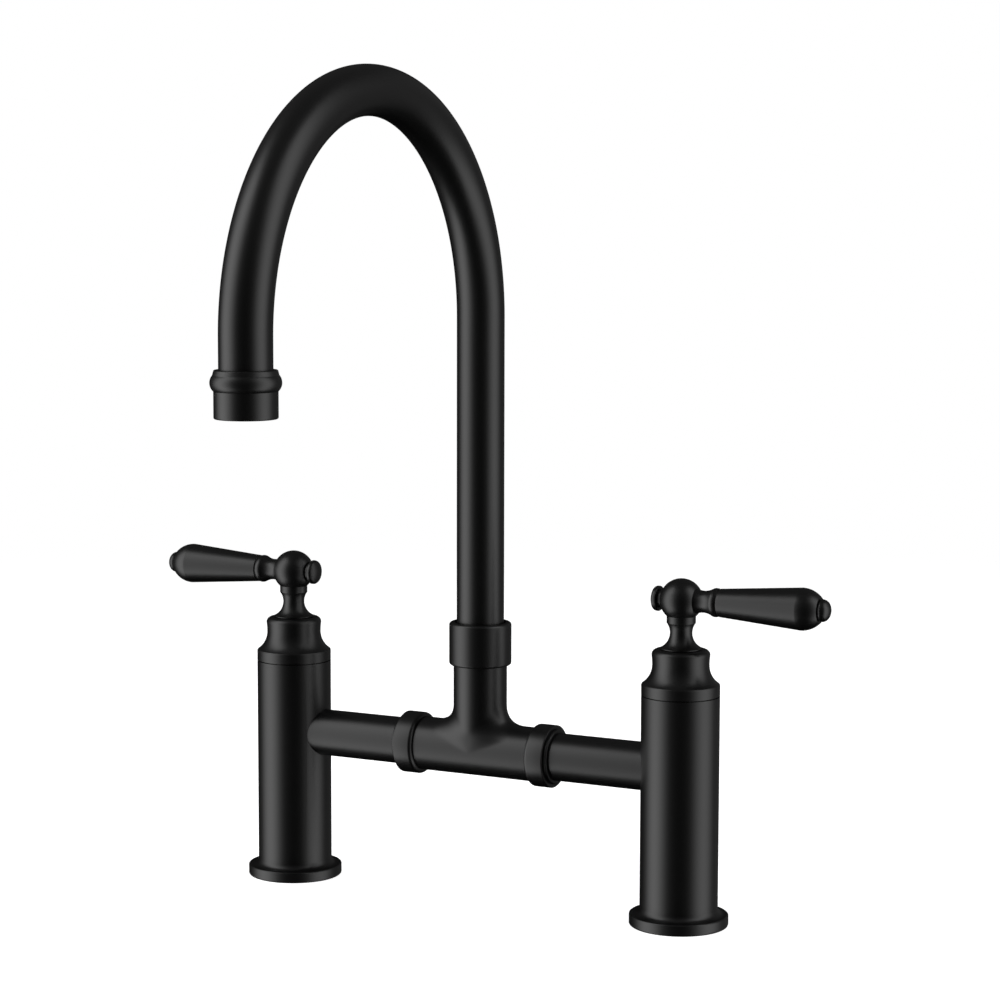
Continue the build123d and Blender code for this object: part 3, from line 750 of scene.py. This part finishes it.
def tee_skin(name, settings):
    """Tee of the frame on an even grid, its outer skin moved onto the cast blend."""
    low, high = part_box("tee")
    run = (high.y - low.y) / 2
    axis = low.z + run
    branch = run - BRANCH_STEP
    source = placed(name + "_seed", FRAME["nodes"]["tee"].data.copy())
    face_outwards(source.data)
    remesh = source.modifiers.new("Grid", "REMESH")
    remesh.mode = "VOXEL"
    remesh.voxel_size = settings.grid
    mesh = plain_mesh(source, name)
    flat = np.empty(len(mesh.vertices) * 3)
    mesh.vertices.foreach_get("co", flat)
    place = flat.reshape(-1, 3)
    # Only the outer skin moves: the bores lie further in than the wall's middle.
    from_run = np.hypot(place[:, 1], place[:, 2] - axis) - run
    from_branch = np.hypot(place[:, 0], place[:, 1]) - branch
    outer = np.minimum(from_run, from_branch) > -SKIN_DEPTH
    skin = place[outer]
    for _ in range(SKIN_STEPS):
        here = tee_distance(skin, run, branch, axis, settings)
        slope = np.empty_like(skin)
        for side in range(3):
            step = np.zeros(3)
            step[side] = NUDGE
            ahead = tee_distance(skin + step, run, branch, axis, settings)
            behind = tee_distance(skin - step, run, branch, axis, settings)
            slope[:, side] = (ahead - behind) / (2 * NUDGE)
        steep = np.maximum((slope**2).sum(axis=1), LEAST_SLOPE)
        skin = skin - slope * (here / steep)[:, None]
    place[outer] = skin
    mesh.vertices.foreach_set("co", place.ravel())
    mesh.update()
    return placed(name, mesh)


# Studio


def aim(turn, distance, height):
    """Point at a distance from the riser, turned anticlockwise from the camera's side."""
    bearing = math.radians(CAMERA_YAW + turn - 90)
    return (distance * math.cos(bearing), distance * math.sin(bearing), height)


def softbox(name, turn, width, radiance):
    """Tall diffused panel that faces the faucet from one side, brightest along its middle."""
    lamp = bpy.data.lights.new(name, "AREA")
    lamp.shape = "RECTANGLE"
    lamp.size = width
    lamp.size_y = SOFTBOX_LENGTH
    lamp.energy = radiance * math.pi * width * SOFTBOX_LENGTH
    lamp.use_nodes = True
    tree = lamp.node_tree
    tree.nodes.clear()
    place = add(tree, "ShaderNodeNewGeometry").outputs["Parametric"]
    across = add(tree, "ShaderNodeSeparateXYZ", {0: place}).outputs["X"]
    # The cloth fades from its middle to both upright edges.
    shifted = add(tree, "ShaderNodeMath", {0: across, 1: 0.5}, operation="SUBTRACT")
    from_middle = add(tree, "ShaderNodeMath", {0: shifted.outputs[0]}, operation="ABSOLUTE")
    fade = add(
        tree,
        "ShaderNodeMapRange",
        {"Value": from_middle.outputs[0], "From Min": 0.5, "From Max": 0.0},
        interpolation_type="SMOOTHSTEP",
    )
    cloth = add(tree, "ShaderNodeEmission", {"Strength": fade.outputs["Result"]})
    add(tree, "ShaderNodeOutputLight", {"Surface": cloth.outputs["Emission"]})
    holder = placed(name, lamp)
    holder.location = aim(turn, SOFTBOX_DISTANCE, SOFTBOX_HEIGHT)
    holder.rotation_euler = (math.radians(90), 0, math.radians(CAMERA_YAW + turn))
    holder.visible_camera = False


def dim_room():
    """Round room that only reflections see, with a faint ceiling and a card at the right rear."""
    shape = bmesh.new()
    bmesh.ops.create_icosphere(shape, subdivisions=4, radius=ROOM_RADIUS)
    bmesh.ops.reverse_faces(shape, faces=shape.faces)
    mesh = bpy.data.meshes.new("studio_walls")
    shape.to_mesh(mesh)
    shape.free()
    made, tree = material("painted_studio_wall")
    place = add(tree, "ShaderNodeTexCoord").outputs["Object"]
    height = add(tree, "ShaderNodeSeparateXYZ", {"Vector": place}).outputs["Z"]
    ceiling = add(
        tree,
        "ShaderNodeMapRange",
        {
            "Value": height,
            "From Min": CEILING_FOOT,
            "From Max": ROOM_RADIUS,
            "To Max": CEILING_GLOW,
        },
    )
    # The white card draws the thin rims along the coating's right edges.
    heading = add(tree, "ShaderNodeVectorMath", {0: place}, operation="NORMALIZE")
    toward = add(
        tree,
        "ShaderNodeVectorMath",
        {0: heading.outputs["Vector"], 1: aim(CARD_TURN, 1, 0)},
        operation="DOT_PRODUCT",
    )
    card = add(
        tree,
        "ShaderNodeMapRange",
        {
            "Value": toward.outputs["Value"],
            "From Min": CARD_EDGE,
            "From Max": CARD_FULL,
            "To Max": CARD_GLOW,
        },
    )
    glow = add(tree, "ShaderNodeMath", {0: ceiling.outputs["Result"], 1: card.outputs["Result"]})
    lit = add(tree, "ShaderNodeEmission", {"Strength": glow.outputs[0]})
    add(tree, "ShaderNodeOutputMaterial", {"Surface": lit.outputs["Emission"]})
    mesh.materials.append(made)
    walls = placed("studio_walls", mesh)
    walls.visible_camera = False
    walls.visible_diffuse = False
    walls.visible_transmission = False
    walls.visible_shadow = False


def looked_at(tree):
    """Value of 1 for what the camera, gloss or glass looks at, and 0 for other light."""
    rays = add(tree, "ShaderNodeLightPath").outputs
    direct = add(tree, "ShaderNodeMath", {0: rays["Is Camera Ray"], 1: rays["Is Glossy Ray"]})
    seen = add(tree, "ShaderNodeMath", {0: direct.outputs[0], 1: rays["Is Transmission Ray"]})
    return seen.outputs[0]


def paper_floor(colour):
    """Pale round of paper under the faucet, which thins out into the white background."""
    shape = bmesh.new()
    bmesh.ops.create_circle(shape, cap_ends=True, segments=128, radius=PAPER_RADIUS)
    mesh = bpy.data.meshes.new("paper_floor")
    shape.to_mesh(mesh)
    shape.free()
    made, tree = material("white_background_paper")
    place = add(tree, "ShaderNodeTexCoord").outputs["Object"]
    reach = add(tree, "ShaderNodeVectorMath", {0: place}, operation="LENGTH")
    fade = add(
        tree,
        "ShaderNodeMapRange",
        {"Value": reach.outputs["Value"], "From Min": PAPER_FADE[0], "From Max": PAPER_FADE[1]},
        interpolation_type="SMOOTHSTEP",
    )
    lit = add(tree, "ShaderNodeBsdfDiffuse", {"Color": linear(colour)})
    lift = add(tree, "ShaderNodeMath", {0: looked_at(tree), 1: PAPER_LIFT}, operation="MULTIPLY")
    white = add(tree, "ShaderNodeEmission", {"Strength": lift.outputs[0]})
    paper = add(tree, "ShaderNodeAddShader", {0: lit.outputs["BSDF"], 1: white.outputs["Emission"]})
    clear = add(tree, "ShaderNodeBsdfTransparent")
    blend = add(
        tree,
        "ShaderNodeMixShader",
        {0: fade.outputs["Result"], 1: paper.outputs["Shader"], 2: clear.outputs["BSDF"]},
    )
    add(tree, "ShaderNodeOutputMaterial", {"Surface": blend.outputs["Shader"]})
    mesh.materials.append(made)
    floor = placed("paper_floor", mesh)
    # The photograph's coating mirrors the softboxes below the deck's level too, and no floor.
    floor.visible_glossy = False
    floor.visible_shadow = False


def white_world():
    """White background for what is looked at past the studio, and a dim fill for other light."""
    world = bpy.data.worlds.new("white_background")
    world.use_nodes = True
    tree = world.node_tree
    tree.nodes.clear()
    strength = add(tree, "ShaderNodeMapRange", {"Value": looked_at(tree), "To Min": FILL_STRENGTH})
    glow = add(
        tree,
        "ShaderNodeBackground",
        {"Color": (1, 1, 1, 1), "Strength": strength.outputs["Result"]},
    )
    add(tree, "ShaderNodeOutputWorld", {"Surface": glow.outputs["Background"]})
    bpy.context.scene.world = world


# Operators


class FAUCET_OT_coated_pieces(bpy.types.Operator):
    """Give the outer castings, tubes and turned pieces their satin black coat."""

    bl_idname = "faucet.coated_pieces"
    bl_label = "Coat the Outer Pieces"

    def execute(self, context):
        dress("matt_black_coating", powder_coat())
        return {"FINISHED"}


class FAUCET_OT_inner_pieces(bpy.types.Operator):
    """Give the valves, seals, bearings and the aerator their own materials."""

    bl_idname = "faucet.inner_pieces"
    bl_label = "Dress the Inner Pieces"

    def execute(self, context):
        dress("bare_brass", machined_brass())
        dress("stainless_steel", stainless_steel())
        # EPDM rubber, moulded: dead black with a faint bloom.
        rubber = moulded("moulded_epdm_rubber", ("#161616", "#1e1e1d"), 0.7, 0.4 * MM, 0.01 * MM)
        dress("sealing_rubber", rubber)
        # Alumina ceramic, pressed, fired and lapped: cream white, smooth and glossy.
        ceramic = moulded("lapped_alumina_ceramic", ("#efeadd", "#e6e0d0"), 0.16, 0.5 * MM, 0.0)
        dress("valve_ceramic", ceramic)
        # Acetal, moulded: waxy black for the bearings, waxy grey for the aerator.
        acetals = (
            ("bearing_plastic", "moulded_black_acetal", ("#141414", "#191919")),
            ("aerator_plastic", "moulded_grey_acetal", ("#6d6e70", "#757678")),
        )
        for slot, name, colours in acetals:
            dress(slot, moulded(name, colours, 0.45, 0.6 * MM, 0.003 * MM))
        return {"FINISHED"}


class FAUCET_OT_swan_neck(bpy.types.Operator):
    """Bend the spout's tube along its rule, with a smooth mesh for the long highlight."""

    bl_idname = "faucet.swan_neck"
    bl_label = "Bend the Swan Neck"

    def execute(self, context):
        sizes = context.scene.faucet_neck
        values = {
            "Tube Radius": sizes.tube_radius,
            "Arch Radius": sizes.arch_radius,
            "Riser Length": sizes.riser_length,
            "Down Leg Length": sizes.down_leg_length,
            "Foot Height": NECK_FOOT,
            "Ring Spacing": sizes.ring_spacing,
            "Sides": sizes.sides,
            "Coat": bpy.data.materials[COAT],
        }
        neck = grown("swan_neck", swan_neck_tree(), values)
        face_outwards(neck.data)
        wall = neck.modifiers.new("Wall", "SOLIDIFY")
        wall.thickness = sizes.wall
        wall.offset = -1
        wall.use_even_offset = True
        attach(neck, "spout")
        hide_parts("spout_tube")
        return {"FINISHED"}


class FAUCET_OT_coupling_nuts(bpy.types.Operator):
    """Turn both coupling nuts, with a wide round towards the tee and a rounded lip on the arm."""

    bl_idname = "faucet.coupling_nuts"
    bl_label = "Turn the Coupling Nuts"

    def execute(self, context):
        settings = context.scene.faucet_nut
        low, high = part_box("right_coupling_nut")
        out = (high.y - low.y) / 2
        outline = nut_outline(settings, low.x + settings.tee_set_back, high.x, out)
        for side, sign in (("left", -1), ("right", 1)):
            mirrored = [(sign * along, reach) for along, reach in outline]
            nut = turned(f"{side}_turned_nut", mirrored, (low.z + high.z) / 2)
            nut.data.materials.append(bpy.data.materials[COAT])
            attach(nut, "bridge_body")
            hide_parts(f"{side}_coupling_nut")
        return {"FINISHED"}


class FAUCET_OT_cast_tee(bpy.types.Operator):
    """Cast the tee with the soft blend that runs round its branch."""

    bl_idname = "faucet.cast_tee"
    bl_label = "Cast the Tee"

    def execute(self, context):
        tee = tee_skin("cast_tee", context.scene.faucet_tee)
        tee.data.materials.clear()
        tee.data.materials.append(bpy.data.materials[COAT])
        tee.data.shade_smooth()
        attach(tee, "bridge_body")
        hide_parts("tee")
        return {"FINISHED"}


class FAUCET_OT_studio(bpy.types.Operator):
    """Set both softboxes, the dim room, the paper floor, the white background and the camera."""

    bl_idname = "faucet.studio"
    bl_label = "Set the Studio"

    def execute(self, context):
        settings = context.scene.faucet_studio
        softbox("left_softbox", LEFT_TURN, LEFT_WIDTH, settings.left_radiance)
        softbox("right_softbox", RIGHT_TURN, RIGHT_WIDTH, settings.right_radiance)
        dim_room()
        paper_floor(settings.floor_colour)
        white_world()
        lens = bpy.data.cameras.new("camera")
        lens.sensor_width = SENSOR_WIDTH
        lens.lens = FOCAL_LENGTH
        lens.shift_x = SHIFT_X
        camera = placed("camera", lens)
        camera.location = CAMERA_PLACE
        camera.rotation_euler = (math.radians(90 - CAMERA_PITCH), 0, math.radians(CAMERA_YAW))
        context.scene.camera = camera
        context.scene.view_settings.view_transform = "Standard"
        return {"FINISHED"}


class FAUCET_PT_panel(bpy.types.Panel):
    """Lists the faucet's operators and settings."""

    bl_idname = "FAUCET_PT_panel"
    bl_label = "Bridge Faucet"
    bl_space_type = "VIEW_3D"
    bl_region_type = "UI"
    bl_category = "Faucet"

    def draw(self, context):
        for operator in OPERATORS:
            self.layout.operator(operator.bl_idname)
        for settings in (getattr(context.scene, name) for name in SETTINGS):
            for name in settings.bl_rna.properties.keys():
                if name not in ("rna_type", "name"):
                    self.layout.prop(settings, name)


OPERATORS = (
    FAUCET_OT_coated_pieces,
    FAUCET_OT_inner_pieces,
    FAUCET_OT_swan_neck,
    FAUCET_OT_coupling_nuts,
    FAUCET_OT_cast_tee,
    FAUCET_OT_studio,
)
SETTINGS = {
    "faucet_finish": FaucetFinish,
    "faucet_neck": FaucetNeck,
    "faucet_nut": FaucetNut,
    "faucet_tee": FaucetTee,
    "faucet_studio": FaucetStudio,
}


def register():
    """Register the classes and hang the settings on the scene."""
    for group in (*SETTINGS.values(), *OPERATORS, FAUCET_PT_panel):
        bpy.utils.register_class(group)
    for name, group in SETTINGS.items():
        setattr(bpy.types.Scene, name, bpy.props.PointerProperty(type=group))


def unregister():
    """Undo register."""
    for name in SETTINGS:
        delattr(bpy.types.Scene, name)
    for group in (FAUCET_PT_panel, *reversed(OPERATORS), *reversed(SETTINGS.values())):
        bpy.utils.unregister_class(group)


def main():
    """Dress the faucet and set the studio."""
    register()
    bpy.ops.faucet.coated_pieces()
    bpy.ops.faucet.inner_pieces()
    bpy.ops.faucet.swan_neck()
    bpy.ops.faucet.coupling_nuts()
    bpy.ops.faucet.cast_tee()
    bpy.ops.faucet.studio()


if __name__ == "__main__":
    main()
